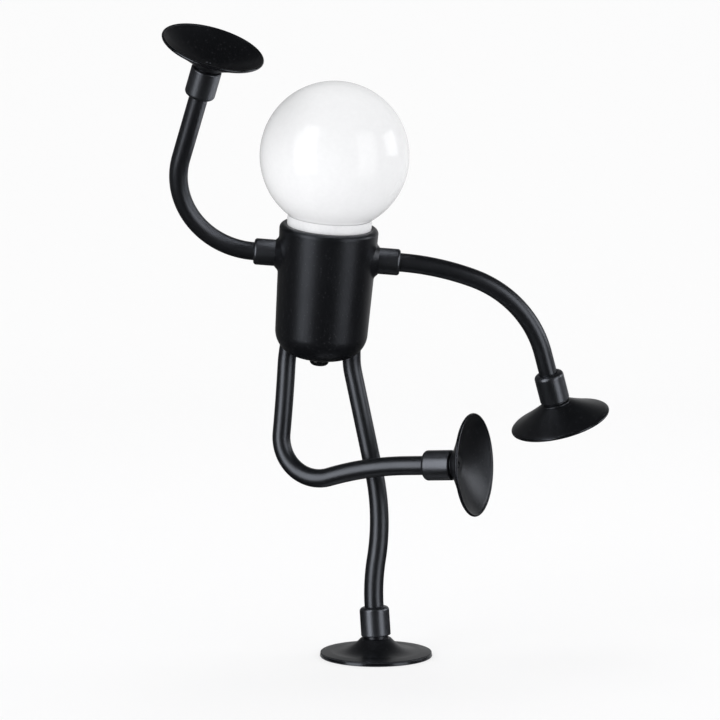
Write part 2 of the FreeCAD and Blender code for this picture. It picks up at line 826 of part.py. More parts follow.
def board_posts():
    out = []
    for side in (1, -1):
        post = primitive("Box", "board_post", Length=size("post_width"), Width=size("post_depth"),
                         Height=size("board_bottom") - size("floor_wall") / 2)
        x = side * mm("post_spread") - mm("post_width") / 2
        y = board_back() + mm("board_thickness") / 2 - mm("post_depth") / 2
        post.Placement = FreeCAD.Placement(V(x, y, mm("floor_wall") / 2), FreeCAD.Rotation())
        out.append(post)
    return out


def switch_hole():
    hole = primitive("Cylinder", "switch_hole", Radius=size("switch_neck_radius") + size("switch_clearance"),
                     Height=size("floor_wall") * 3)
    return placed(hole, 0, 0, -size("floor_wall"))


def pill_box(name, width, thickness, start, end, height):
    """A slot with round ends along Y: a box and two cylinders, joined."""
    flat = (width - thickness) / 2
    box = primitive("Box", name + "_middle", Length=width - thickness, Width=as_size(end) - start,
                    Height=thickness)
    placed(box, -flat, start, height - thickness / 2)
    out = [box]
    for side in (1, -1):
        end_round = primitive("Cylinder", name + "_end", Radius=thickness / 2, Height=as_size(end) - start)
        out.append(placed(end_round, side * flat, start, height, ALONG_Y))
    return joined(name, out)


def port_mouth():
    """How far behind the torso's axis the port ends."""
    return board_back() + mm("board_thickness") + mm("port_length")


def port_holes():
    """The slot that the charging port looks through, with a wider recess for the plug's grip."""
    clear = size("port_clearance") * 2
    start, end = port_mouth() - mm("port_length"), size("torso_top_radius") + OVERRUN
    slot = pill_box("port_slot", size("port_width") + clear, size("port_thickness") + clear, start, end,
                    size("port_height"))
    recess = pill_box("plug_recess", size("plug_width"), size("plug_thickness"),
                      port_mouth() + mm("plug_recess_gap"), end, size("port_height"))
    return [slot, recess]


def shoulder_ferrule(name, side):
    """Turned ferrule with a threaded stud: its own +Z points out along the arm, 0 at the boss face."""
    length, radius = size("shoulder_length"), size("shoulder_radius")
    socket = size("tube_radius") + size("sleeve_clearance")
    stud = size("stud_radius")
    back = boss_face() - size("nut_seat") + size("nut_height") + size("stud_past_nut")
    core = size("bore_radius")
    depth = size("arm_socket_depth")
    inner = length - depth
    body = turned_body(name, [
        (0, inner - size("core_reach")), (core, inner - size("core_reach")), (core, inner), (socket, inner),
        (socket, length), (radius, length), (radius, 0), (stud, 0), (stud, -back), (0, -back)])
    round_rings(body, [(radius, length)], size("shoulder_edge"))
    turn = TORSO_ROTATION * (ALONG_X if side > 0 else ALONG_MINUS_X)
    face = torso_point(side * boss_face().value, 0, shoulder_height().value)
    body.Placement = FreeCAD.Placement(face, turn)
    return body


def shoulder_nuts():
    nuts = []
    for side, turn in ((1, ALONG_X), (-1, ALONG_MINUS_X)):
        nut = hex_nut(mm("nut_width"), mm("nut_height"), mm("stud_radius") + mm("screw_clearance"))
        inner = side * (mm("nut_seat") - mm("nut_height"))
        place = FreeCAD.Placement(V(inner, 0, shoulder_height().value), turn)
        nut.Placement = place
        nuts.append(nut)
    return feature("shoulder_nuts", Part.makeCompound(nuts), TORSO)


def hip_nuts():
    nuts = []
    for side in (1, -1):
        hole = mm("hip_shank_radius") + mm("screw_clearance")
        nut = hex_nut(mm("hip_nut_width"), mm("hip_nut_height"), hole)
        nut.Placement = FreeCAD.Placement(hip_point(side, mm("hip_boss_length")),
                                          turn_to(hip_direction(side) * -1))
        nuts.append(nut)
    return feature("hip_nuts", Part.makeCompound(nuts), TORSO)


def heat_plate():
    radius = size("mouth_radius") - size("plate_clearance")
    body = turned_body("heat_plate_blank", [
        (0, 0), (radius, 0), (radius, size("plate_thickness")), (0, size("plate_thickness"))])
    holes = []
    for place in pillar_places()[0]:
        hole = primitive("Cylinder", "plate_hole", Radius=size("screw_radius") + size("screw_clearance"),
                         Height=size("plate_thickness") * 3)
        holes.append(placed(hole, place.x, place.y, -size("plate_thickness")))
    plate = cut("heat_plate", body, holes)
    plate.Placement = on_torso_axis(plate_bottom())
    return plate


def led_board():
    body = turned_body("led_board", [
        (0, 0), (size("led_board_radius"), 0), (size("led_board_radius"), size("led_board_thickness")),
        (0, size("led_board_thickness"))])
    body.Placement = on_torso_axis(plate_top())
    return body


def led_chips():
    side, count = mm("led_size"), int(mm("led_count"))
    base = float(plate_top() + size("led_board_thickness"))
    chips = []
    for i in range(count):
        chip = Part.makeBox(side, side, mm("led_height"), V(mm("led_circle") - side / 2, -side / 2, base))
        chips.append(spun(chip, 360.0 * i / count))
    return feature("led_chips", Part.makeCompound(chips), TORSO)


def seat_radius():
    return size("collar_radius") - size("collar_wall") - size("seat_clearance")


def lug_level():
    """The height of the lugs' middle above the heat plate."""
    return torso_height().value - mm("lug_drop") - float(plate_top())


def arc_block(inner, outer, low, high, start, end):
    """A block between two radii, two heights and two angles in degrees."""
    ring = Part.makeCylinder(outer, high - low, V(0, 0, low), Z_UP, end - start)
    ring = ring.cut(Part.makeCylinder(inner, high - low + OVERRUN * 2, V(0, 0, low - OVERRUN)))
    return spun(ring, start)


def collar_seat():
    """The fixed half of the bayonet: a ring with three L shaped grooves, screwed down with the plate."""
    radius = seat_radius()
    body = turned_body("collar_seat_blank", [
        (size("seat_flange_radius"), 0), (radius, 0), (radius, size("seat_height")),
        (radius - size("seat_wall"), size("seat_height")), (radius - size("seat_wall"), size("seat_flange")),
        (size("seat_flange_radius"), size("seat_flange"))])
    outer = radius.value + OVERRUN
    inner = radius.value - mm("lug_depth")
    half = math.degrees((mm("lug_width") / 2 + mm("lug_clearance") * 2) / inner)
    low = lug_level() - mm("lug_height") / 2 - mm("lug_clearance")
    high = lug_level() + mm("lug_height") / 2 + mm("lug_clearance")
    grooves = []
    for middle in LUG_ANGLES:
        entry = middle + mm("bayonet_turn")
        grooves.append(arc_block(inner, outer, low, high, middle - half, entry + half))
        grooves.append(arc_block(inner, outer, low, mm("seat_height") + OVERRUN, entry - half, entry + half))
    tools = feature("seat_grooves", Part.makeCompound(grooves))
    holes = []
    for place in pillar_places()[0]:
        hole = primitive("Cylinder", "seat_hole", Radius=size("screw_radius") + size("screw_clearance"),
                         Height=size("seat_flange") * 3)
        holes.append(placed(hole, place.x, place.y, -size("seat_flange")))
    seat = cut("collar_seat", body, [tools] + holes)
    seat.Placement = on_torso_axis(plate_top())
    return seat


def plate_screws():
    screws = []
    top = float(plate_top() + size("seat_flange"))
    for place in pillar_places()[0]:
        tip = V(place.x, place.y, top - mm("screw_length"))
        shank = Part.makeCylinder(mm("screw_radius"), mm("screw_length"), tip)
        head = Part.makeCylinder(mm("screw_head_radius"), mm("screw_head_height"), V(place.x, place.y, top))
        length, width, depth = mm("screw_head_radius") * 3, mm("screw_slot_width"), mm("screw_slot_depth")
        corner = V(place.x - length / 2, place.y - width / 2, top + mm("screw_head_height") - depth)
        slot = Part.makeBox(length, width, depth, corner)
        screws.append(head.fuse(shank).cut(slot).removeSplitter())
    return feature("plate_screws", Part.makeCompound(screws), TORSO)


# The globe's body


def globe_collar():
    """White ring below the globe, with three lugs inside its skirt; its own 0 is the torso's rim."""
    outer = size("collar_radius")
    inner = outer - size("collar_wall")
    ball = size("globe_radius") + size("collar_gap")
    body = turned_body("collar_blank", [
        (inner, -size("collar_skirt")), (outer, -size("collar_skirt")),
        (outer, globe_rise() - sphere_height(outer, ball)),
        (inner, globe_rise() - sphere_height(inner, ball))])
    lugs = []
    bottom = -mm("lug_drop") - mm("lug_height") / 2
    reach = inner.value - mm("lug_depth") - mm("seat_clearance") + mm("lug_clearance")
    half = math.degrees(mm("lug_width") / 2 / reach)
    for middle in LUG_ANGLES:
        lugs.append(arc_block(reach, inner.value + mm("lug_root"), bottom, bottom + mm("lug_height"),
                              middle - half, middle + half))
    lug_set = feature("collar_lugs", Part.makeCompound(lugs))
    collar = joined("globe_collar", [body, lug_set])
    collar.Placement = on_torso_axis(torso_height())
    return collar


def globe_shade():
    """Opal ball shell with a short neck inside the collar; its own 0 is the ball's middle."""
    ball, wall, neck = mm("globe_radius"), mm("globe_wall"), globe_neck_radius().value
    length = mm("globe_neck_length")
    shell = ball_solid(ball, neck, length)
    hollow = ball_solid(ball - wall, neck - wall, length + wall * 3)
    return feature("globe_shade", shell.cut(hollow), on_torso_axis(torso_height() + globe_rise()))


def ball_solid(ball, neck, length):
    """A ball cut off at its neck, which goes on down as a cylinder."""
    drop = math.sqrt(ball * ball - neck * neck)
    top, end = V(0, 0, ball), V(neck, 0, -drop)
    low, middle = V(neck, 0, -drop - length), V(0, 0, -drop - length)
    profile = Part.Wire([
        Part.Arc(top, V(ball, 0, 0), end).toShape(),
        Part.LineSegment(end, low).toShape(),
        Part.LineSegment(low, middle).toShape(),
        Part.LineSegment(middle, top).toShape()])
    return Part.Face(profile).revolve(V(0, 0, 0), Z_UP, 360)


# Power and switch


def cradle_ends():
    low = mm("cell_floor") - mm("contact_thickness") - mm("cradle_end")
    high = mm("cell_floor") + mm("cell_length") + mm("contact_thickness") + mm("cradle_end")
    return low, high


def battery_cell():
    radius, length = size("cell_radius"), size("cell_length")
    body = turned_body("battery_cell", [(0, 0), (radius, 0), (radius, length), (0, length)])
    round_rings(body, [(radius, 0), (radius, length)], size("cell_rounding"))
    body.Placement = TORSO * FreeCAD.Placement(V(0, -mm("cell_front"), mm("cell_floor")), FreeCAD.Rotation())
    return body


def battery_cradle():
    """Half pipe round the back of the cell, with a plate at each end and a flat back on the board."""
    low, high = cradle_ends()
    inner = mm("cell_radius") + mm("cradle_clearance")
    outer = inner + mm("cradle_wall")
    back = board_back() + mm("cell_front")
    block = Part.makeBox(outer * 2, back, high - low, V(-outer, 0, low))
    block = block.common(Part.makeCylinder(mm("cradle_back_radius"), high - low, V(0, 0, low)))
    plates = Part.makeCylinder(mm("cradle_plate_radius"), high - low, V(0, 0, low))
    solid = block.fuse(plates)
    room = Part.makeCylinder(inner, high - low - mm("cradle_end") * 2, V(0, 0, low + mm("cradle_end")))
    solid = solid.cut(room).removeSplitter()
    place = TORSO * FreeCAD.Placement(V(0, -mm("cell_front"), 0), FreeCAD.Rotation())
    return feature("battery_cradle", solid, place)


def battery_contacts():
    thick = mm("contact_thickness")
    low = Part.makeCylinder(mm("contact_radius"), thick, V(0, 0, mm("cell_floor") - thick))
    high = Part.makeCylinder(mm("contact_radius"), thick, V(0, 0, mm("cell_floor") + mm("cell_length")))
    place = TORSO * FreeCAD.Placement(V(0, -mm("cell_front"), 0), FreeCAD.Rotation())
    return feature("battery_contacts", Part.makeCompound([low, high]), place)


def control_board():
    width = size("board_width")
    box = primitive("Box", "control_board", Length=width, Width=size("board_thickness"),
                    Height=size("board_top") - size("board_bottom"))
    corner = V(-width.value / 2, board_back(), mm("board_bottom"))
    box.Placement = TORSO * FreeCAD.Placement(corner, FreeCAD.Rotation())
    return box


def charge_port():
    """A socket's metal tube with its tongue, open at the back of the torso."""
    width, thick, height = size("port_width"), size("port_thickness"), size("port_height")
    wall = size("port_wall") * 2
    end = port_mouth()
    start = end - mm("port_length")
    outside = pill_box("port_outside", width, thick, start, end, height)
    inside = pill_box("port_inside", width - wall, thick - wall, start + mm("port_back"), end + OVERRUN,
                      height)
    tube = cut("port_tube", outside, [inside])
    tongue = primitive("Box", "port_tongue", Length=size("tongue_width"), Height=size("tongue_thickness"),
                       Width=size("port_length") - size("tongue_setback") * 2)
    placed(tongue, -size("tongue_width") / 2, start + size("tongue_setback"),
           height - size("tongue_thickness") / 2)
    port = joined("charge_port", [tube, tongue])
    port.Placement = TORSO
    return port


def switch_body():
    """Housing above the floor with a round neck through it; the plunger's head moves in its chamber."""
    floor, top = size("floor_wall"), size("switch_top")
    side = size("switch_side")
    house = primitive("Box", "switch_house", Length=side, Width=side, Height=top - floor)
    placed(house, -side / 2, -side / 2, floor)
    neck = primitive("Cylinder", "switch_neck", Radius=size("switch_neck_radius"), Height=floor + OVERRUN)
    solid = joined("switch_solid", [house, neck])
    bore = primitive("Cylinder", "switch_bore", Radius=size("plunger_radius") + size("plunger_clearance"),
                     Height=size("plunger_head_base") + OVERRUN * 2)
    placed(bore, 0, 0, -OVERRUN)
    clear = size("chamber_clearance")
    chamber = primitive("Cylinder", "switch_chamber", Radius=size("plunger_head_radius") + clear,
                        Height=size("plunger_head_height") + size("button_travel") + clear * 3)
    placed(chamber, 0, 0, size("plunger_head_base") - clear)
    result = cut("switch_body", solid, [bore, chamber])
    result.Placement = TORSO
    return result


def switch_button():
    """Domed cap on a plunger; its own 0 is the lowest point, and it lies below the torso's floor."""
    total = size("button_bottom")
    radius = size("button_radius")
    body = turned_body("switch_button", [
        (0, 0), (radius, 0), (radius, total - size("button_gap")),
        (size("plunger_radius"), total - size("button_gap")),
        (size("plunger_radius"), total + size("plunger_head_base")),
        (size("plunger_head_radius"), total + size("plunger_head_base")),
        (size("plunger_head_radius"), total + size("plunger_head_base") + size("plunger_head_height")),
        (0, total + size("plunger_head_base") + size("plunger_head_height"))])
    round_rings(body, [(radius, 0)], size("button_rounding"))
    body.Placement = on_torso_axis(-total)
    return body


# The limbs' pieces


def sleeve(name):
    """The soft tube over the core, in one piece from its root socket to its end ferrule."""
    trail = TRAILS[name]
    start, end = mm("sleeve_clearance"), trail.length() - mm("sleeve_clearance")
    outside = tube_along(trail.edges(start, end), mm("tube_radius"))
    inside = tube_along(trail.edges(start, end), mm("bore_radius"))
    return feature(name + "_sleeve", outside.cut(inside))


def core_root(name, bend):
    """The first link, fixed in the torso: it reaches past the sleeve into its ferrule or hip boss."""
    side = mm("core_side")
    solid = core_link(name, 0.0, bend[0], None, bend)
    start, heading = TRAILS[name].at(0.0)
    if "leg" in name:
        reach = mm("hip_boss_length") - mm("hip_socket_depth")
        reach += mm("hip_nut_height") + mm("hip_shank_past_nut")
        shank = Part.makeCylinder(mm("hip_shank_radius"), reach + OVERRUN, start + heading * OVERRUN,
                                  heading * -1)
        solid = single(solid.fuse(shank))
    else:
        edge = Part.LineSegment(start - heading * mm("core_reach"), start + heading * OVERRUN).toShape()
        solid = single(solid.fuse(bar_along([edge], side, limb_side(name))))
    return feature(name + "_core_root", solid)


def core_links(name):
    bends = bend_points(name)
    end = TRAILS[name].length()
    core_root(name, bends[0])
    names = ("upper", "lower", "tip")
    stops = [bends[1], bends[2], None]
    for word, start, stop in zip(names, bends, stops):
        last = stop[0] if stop else end
        feature("%s_core_%s" % (name, word), core_link(name, start[0], last, start, stop))


def tip_place(name):
    """The frame of a limb's end ferrule: 0 at its mouth, +Z out towards the cup."""
    trail = TRAILS[name]
    point, heading = trail.at(trail.length())
    rest = mm("ferrule_length") - mm("tip_socket_depth")
    return FreeCAD.Placement(point + heading * rest, turn_to(heading))


def end_ferrule(name):
    radius, length = size("ferrule_radius"), size("ferrule_length")
    socket = size("tube_radius") + size("sleeve_clearance")
    mouth = size("ferrule_mouth_radius")
    head = size("pin_head_radius") + size("shank_clearance")
    pin = size("pin_radius") + size("pin_clearance")
    shelf = length - size("tip_socket_depth")
    low = shelf - size("head_recess") - size("partition")
    body = turned_body(name + "_ferrule", [
        (pin, low), (mouth, low), (mouth, 0), (radius, 0), (radius, length), (socket, length),
        (socket, shelf), (head, shelf), (head, low + size("partition")), (pin, low + size("partition"))])
    round_rings(body, [(radius, length)], size("ferrule_tube_edge"))
    round_rings(body, [(radius, 0)], size("ferrule_mouth_edge"))
    place = tip_place(name)
    flip = FreeCAD.Rotation(V(1, 0, 0), 180)
    body.Placement = FreeCAD.Placement(place.Base, place.Rotation * flip)
    return body


def partition_face():
    """How far inside the ferrule's mouth the partition lies."""
    return size("ferrule_length") - size("tip_socket_depth") - size("head_recess") - size("partition")


def cup_pin(name):
    """Steel pin that turns in the ferrule's partition: 0 is the ferrule's mouth, +Z into the ferrule."""
    face = partition_face()
    play = size("pin_play")
    flange_top = face - play
    flange_low = flange_top - size("pin_flange_height")
    barb_top = flange_low - (size("pin_depth") - size("pin_flange_height") - size("pin_barb_height"))
    barb_low = barb_top - size("pin_barb_height")
    head_low = face + size("partition") + play
    head_top = head_low + size("pin_head_height")
    pin, flange, barb = size("pin_radius"), size("pin_flange_radius"), size("pin_barb_radius")
    body = turned_body(name + "_cup_pin", [
        (0, barb_low), (barb, barb_low), (barb, barb_top), (pin, barb_top), (pin, flange_low),
        (flange, flange_low), (flange, flange_top), (pin, flange_top),
        (pin, head_low), (size("pin_head_radius"), head_low),
        (size("pin_head_radius"), head_top), (0, head_top)])
    place = tip_place(name)
    body.Placement = FreeCAD.Placement(place.Base, place.Rotation * FreeCAD.Rotation(V(1, 0, 0), 180))
    return body


def pin_pocket():
    """The room that the pin takes in a cup's neck, with +Z out towards the cup's rim."""
    top = partition_face().value - mm("pin_play") - mm("pin_flange_height")
    depth = mm("pin_depth") - mm("pin_flange_height")
    shaft = Part.makeCylinder(mm("pin_radius"), depth, V(0, 0, -top))
    barb = Part.makeCylinder(mm("pin_barb_radius"), mm("pin_barb_height"),
                             V(0, 0, -top + depth - mm("pin_barb_height")))
    return shaft.fuse(barb)


def neck_top():
    """How far inside the ferrule's mouth a cup's neck reaches."""
    return partition_face() - size("pin_play") - size("pin_flange_height")


def suction_cup(name):
    """A relaxed cup on its neck: its own 0 is the neck's top, +Z out towards the rim."""
    rim, lip = size("cup_radius"), size("cup_lip")
    neck, shoulder = size("cup_neck_radius"), size("cup_shoulder_radius")
    mouth = neck_top()
    edge, floor = mouth + size("cup_depth"), mouth + size("cup_floor")
    body = turned_body(name + "_cup_blank", [
        (0, 0), (neck, 0), (neck, mouth), (shoulder, mouth + size("cup_shoulder"), size("cup_outer_bow")),
        (rim, edge - lip), (rim, edge), (rim - lip, edge, size("cup_inner_bow")),
        (size("cup_floor_radius"), floor), (0, floor)])
    round_rings(body, [(rim, edge - lip), (rim, edge)], size("cup_lip_rounding"))
    dimple = primitive("Cylinder", "cup_dimple", Radius=size("dimple_radius"),
                       Height=size("dimple_depth") + OVERRUN)
    placed(dimple, 0, 0, floor - size("dimple_depth"))
    pocket = feature("cup_pocket", pin_pocket(), FreeCAD.Placement(V(0, 0, mouth.value), FreeCAD.Rotation()))
    cup = cut(name + "_cup", body, [dimple, pocket])
    place = tip_place(name)
    cup.Placement = FreeCAD.Placement(place.multVec(V(0, 0, -mouth.value)), place.Rotation)
    return cup


def foot_cup(name):
    """The pressed cup that the lamp stands on: flat below, with its neck along the leaning ankle."""
    rim, lip, top = size("foot_radius"), size("foot_lip"), size("foot_mouth_height") - size("cup_shoulder")
    hollow, roof = size("foot_hollow_radius"), size("foot_hollow")
    body = turned_body(name + "_cup_dish", [
        (0, roof), (hollow, roof), (hollow, 0), (rim, 0), (rim, lip),
        (rim - size("foot_rim_width"), lip + size("foot_rim_rise"), size("foot_flare_radius")),
        (size("foot_shoulder_radius"), top), (0, top)])
    round_rings(body, [(rim, lip)], size("foot_lip_rounding"))
    up, root_length = ankle_heading(), mm("foot_neck_root")
    base = V(0, 0, mm("foot_mouth_height")) - up * root_length
    neck = Part.makeCylinder(mm("cup_neck_radius"), neck_top().value + root_length, base, up)
    solid = joined("foot_solid", [body, feature("foot_neck", neck)])
    cup = cut(name + "_cup", solid, [feature("foot_pocket", pin_pocket(), tip_place(name))])
    cup.Placement = FreeCAD.Placement()
    return cup


def build():
    torso_shell()
    for side, name in ((-1, "left_shoulder_ferrule"), (1, "right_shoulder_ferrule")):
        shoulder_ferrule(name, side)
    shoulder_nuts()
    hip_nuts()
    heat_plate()
    led_board()
    led_chips()
    collar_seat()
    plate_screws()
    globe_collar()
    globe_shade()
    battery_cell()
    battery_cradle()
    battery_contacts()
    control_board()
    charge_port()
    switch_body()
    switch_button()
    for name in TRAILS:
        sleeve(name)
        core_links(name)
        end_ferrule(name)
        cup_pin(name)
        if name == "standing_leg":
            foot_cup(name)
        else:
            suction_cup(name)


LIMB_PIECES = ["sleeve", "core_root", "core_upper", "core_lower", "core_tip", "ferrule", "cup_pin", "cup"]
NODES = ["torso_shell", "left_shoulder_ferrule", "right_shoulder_ferrule", "shoulder_nuts", "hip_nuts",
         "heat_plate", "led_board", "led_chips", "collar_seat", "plate_screws", "globe_collar", "globe_shade",
         "battery_cell", "battery_cradle", "battery_contacts", "control_board", "charge_port", "switch_body",
         "switch_button"] + ["%s_%s" % (limb, piece) for limb in TRAILS for piece in LIMB_PIECES]


def export():
    DOC.recompute()
    for obj in DOC.Objects:
        if "Invalid" in obj.State or "Error" in obj.State:
            raise RuntimeError("%s failed: %s" % (obj.Name, obj.State))
    os.makedirs("parts", exist_ok=True)
    for node in NODES:
        obj = DOC.getObject(node)
        obj.Label = node
        shape = obj.Shape
        if shape.isNull() or not shape.isValid() or not shape.Solids:
            raise RuntimeError("%s has no valid solid" % node)
        shape.exportStep("parts/%s.step" % node)


def report_joints():
    """Prints each bend's place and axis, and where the other moving pieces turn or slide."""
    for limb in TRAILS:
        for number, (distance, point, heading, axis) in enumerate(bend_points(limb), start=1):
            print("bend %s %d at %.2f point %s heading %s axis %s" % (
                limb, number, distance, rounded(point), rounded(heading), rounded(axis)))
        place = tip_place(limb)
        heading = place.Rotation.multVec(Z_UP)
        print("tip %s mouth %s heading %s" % (limb, rounded(place.Base), rounded(heading)))
    print("torso origin %s up %s right %s" % (rounded(TORSO.Base), rounded(torso_direction(0, 0, 1)),
                                              rounded(torso_direction(1, 0, 0))))


def rounded(vector):
    return [round(c, 6) for c in vector]


build()
export()
report_joints()
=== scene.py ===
import json
import math

import bmesh
import bpy
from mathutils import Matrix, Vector


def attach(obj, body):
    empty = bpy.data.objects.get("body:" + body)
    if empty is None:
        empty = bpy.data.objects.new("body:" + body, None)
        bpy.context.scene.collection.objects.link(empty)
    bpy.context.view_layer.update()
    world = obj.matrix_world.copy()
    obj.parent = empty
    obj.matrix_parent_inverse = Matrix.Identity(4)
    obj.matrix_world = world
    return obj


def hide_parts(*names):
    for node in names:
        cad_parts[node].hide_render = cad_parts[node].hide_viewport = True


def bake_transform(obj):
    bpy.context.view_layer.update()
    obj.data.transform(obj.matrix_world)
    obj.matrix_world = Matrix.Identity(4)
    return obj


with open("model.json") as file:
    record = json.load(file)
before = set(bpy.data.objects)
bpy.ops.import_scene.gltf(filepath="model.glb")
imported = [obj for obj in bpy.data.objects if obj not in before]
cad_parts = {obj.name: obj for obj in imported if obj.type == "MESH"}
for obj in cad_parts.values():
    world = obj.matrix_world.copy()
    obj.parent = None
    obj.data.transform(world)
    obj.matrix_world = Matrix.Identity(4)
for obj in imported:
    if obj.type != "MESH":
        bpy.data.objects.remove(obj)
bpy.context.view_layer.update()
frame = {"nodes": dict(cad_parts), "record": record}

MM = 0.001

# The camera stands about 1.5 m in front of the lamp, near the height of its globe's top.
# It looks down by this many degrees.
CAMERA_PLACE = (-0.00876, -1.5, 0.307906)
CAMERA_PITCH = 5.535
CAMERA_LENS = 139.06
SENSOR = 36.0

# Each limb's centre line in millimetres: its start; its heading; its stretches as
# (length, turn in degrees, axis of the turn); how far along it the three hinges lie;
# and the tube's radius as two (distance, radius) pairs, since the soft tube is a little uneven.
ROUTES = {
    "left_arm": ((-57.958, -2.037, 221.081), (-0.997053, 0.0, 0.076719),
                 ((8.0, 0.0, None), (16.7, 22.3, (0.02881, 0.9268, 0.37445)),
                  (59.0, 80.1, (0.02881, 0.9268, 0.37445)), (44.4, 0.0, None)),
                 (26.02, 64.3, 103.71), ((15.0, 4.9), (110.0, 5.05))),
    "right_arm": ((4.847, -2.037, 216.248), (0.997053, 0.0, -0.076719),
                  ((8.0, 0.0, None), (40.9, 16.4, (0.01809, 0.9718, 0.2351)),
                   (59.2, 54.4, (0.01809, 0.9718, 0.2351)), (19.7, 0.0, None)),
                  (25.97, 64.15, 103.45), ((15.0, 5.05), (80.0, 4.95))),
    "free_leg": ((-46.448, 5.179, 176.944), (-0.145033, 0.164646, -0.975632),
                 ((11.0, 0.0, None), (7.083, 13.527, (-0.91982, -0.38573, 0.07164)),
                  (37.3, 2.3, (0.38977, 0.91825, -0.06992)), (43.1, 112.0, (-0.38977, -0.91825, 0.06992)),
                  (45.6, 14.3, (0.38977, 0.91825, -0.06992)), (18.6, 0.0, None)),
                 (31.19, 83.09, 135.0), ((70.0, 4.93), (115.0, 5.12))),
    "standing_leg": ((-13.281, 5.179, 174.392), (-0.005932, 0.164646, -0.986335),
                     ((11.0, 0.0, None), (9.117, 17.412, (-0.70647, -0.69877, -0.11239)),
                      (55.3, 0.0, None), (47.8, 20.9, (0.0, 0.99863, -0.05234)),
                      (26.0, 12.7, (0.0, -0.99863, 0.05234)), (7.5, 0.0, None)),
                     (33.11, 80.11, 128.48), ((60.0, 4.98), (130.0, 5.25))),
}
TUBE_WALL = 0.7
TUBE_SIDES = 64
TUBE_STEP = 1.4
# How far short of its ends the tube stops, and how far to each side of its hinge a span is measured.
END_CLEARANCE = 0.3
BLEND_HALF = 16.5

# Where each end ferrule's mouth lies and which way its cup points, in millimetres.
CUPS = {
    "left_arm": ((-88.65, -40.714, 319.17), (0.283547, -0.366797, 0.886037)),
    "right_arm": ((98.102, 14.882, 139.135), (0.257489, 0.222683, -0.940272)),
    "free_leg": ((40.655, -34.328, 109.744), (0.920388, -0.385873, 0.063149)),
}
ANKLE = ((0.0, 0.0, 11.2), (0.064444, -0.052227, -0.996554))
CUP_SIDES = 160

# Every cup's neck, and the relaxed cup's form, in millimetres. A bow is an arc's radius, see arc().
NECK_RADIUS = 6.5
NECK_DEPTH = 3.35
NECK_ROUNDING = 0.5
SHOULDER_HEIGHT = 1.1
CONE_BOW = 200.0
HOLLOW_BOW = 60.0
BEAD_RADIUS = 0.8
BEAD_MIDDLE = (26.7, 12.15)
DIMPLE_EDGE_HEIGHT = 3.3
DIMPLE_HEIGHT = 2.6
DIMPLE_ROUNDING = 0.4
FLOOR_ROUNDING = 4.0

# The pressed cup that the lamp stands on.
FOOT_FLARE_BOW = -20.0
FOOT_TOP = 10.05
FOOT_TOP_ROUNDING = 0.6
FOOT_RIM_ROUNDING = 0.2
FOOT_HOLLOW_HEIGHT = 1.4
FOOT_EDGE_RADIUS = 30.25
FOOT_EDGE_HEIGHT = 1.7

# Edges that turn by more than this many degrees are sharp.
TUBE_SHARP = 50
CUP_SHARP = 40


# Materials

# A black's slow changes (noise scale), its specks and how much roughness a worn rim keeps.
SLOW_CHANGE = 45.0
SPECKS_PER_GRAIN = 0.4
SPECK_EDGE = (0.05, 0.2)
WORN_ROUGHNESS = 0.55


def new_material(name, color, roughness, **more):
    mat = bpy.data.materials.new(name)
    mat.use_nodes = True
    shader = mat.node_tree.nodes["Principled BSDF"]
    shader.inputs["Base Color"].default_value = (*color, 1)
    shader.inputs["Roughness"].default_value = roughness
    for key, value in more.items():
        shader.inputs[key.replace("_", " ")].default_value = value
    return mat


def node(mat, kind, **props):
    made = mat.node_tree.nodes.new(kind)
    for key, value in props.items():
        setattr(made, key, value)
    return made


def link(mat, a, out, b, into):
    mat.node_tree.links.new(a.outputs[out], b.inputs[into])


def coordinates(mat):
    return node(mat, "ShaderNodeTexCoord")


def noise(mat, coords, scale, detail=3.0, rough=0.55):
    tex = node(mat, "ShaderNodeTexNoise")
    tex.inputs["Scale"].default_value = scale
    tex.inputs["Detail"].default_value = detail
    tex.inputs["Roughness"].default_value = rough
    link(mat, coords, "Object", tex, "Vector")
    return tex


def ranged(mat, source, out, low, high, a=0.3, b=0.7):
    """A number from low to high as the source goes from a to b."""
    spread = node(mat, "ShaderNodeMapRange")
    spread.inputs["From Min"].default_value = a
    spread.inputs["From Max"].default_value = b
    spread.inputs["To Min"].default_value = low
    spread.inputs["To Max"].default_value = high
    link(mat, source, out, spread, "Value")
    return spread


def tint(mat, source, out, dark, light):
    """Mixes two colours by the source, into the base colour."""
    mix = node(mat, "ShaderNodeMix", data_type="RGBA")
    mix.inputs["A"].default_value = (*dark, 1)
    mix.inputs["B"].default_value = (*light, 1)
    mat.node_tree.links.new(source.outputs[out], mix.inputs["Factor"])
    shader = mat.node_tree.nodes["Principled BSDF"]
    mat.node_tree.links.new(mix.outputs["Result"], shader.inputs["Base Color"])


def bump(mat, heights, strength, distance):
    """Adds bump from several (texture, output, weight) heights."""
    shader = mat.node_tree.nodes["Principled BSDF"]
    total = None
    for source, out, weight in heights:
        part = node(mat, "ShaderNodeMath", operation="MULTIPLY")
        part.inputs[1].default_value = weight
        mat.node_tree.links.new(source.outputs[out], part.inputs[0])
        if total is None:
            total = part
            continue
        both = node(mat, "ShaderNodeMath", operation="ADD")
        mat.node_tree.links.new(total.outputs[0], both.inputs[0])
        mat.node_tree.links.new(part.outputs[0], both.inputs[1])
        total = both
    relief = node(mat, "ShaderNodeBump")
    relief.inputs["Strength"].default_value = strength
    relief.inputs["Distance"].default_value = distance
    mat.node_tree.links.new(total.outputs[0], relief.inputs["Height"])
    mat.node_tree.links.new(relief.outputs["Normal"], shader.inputs["Normal"])


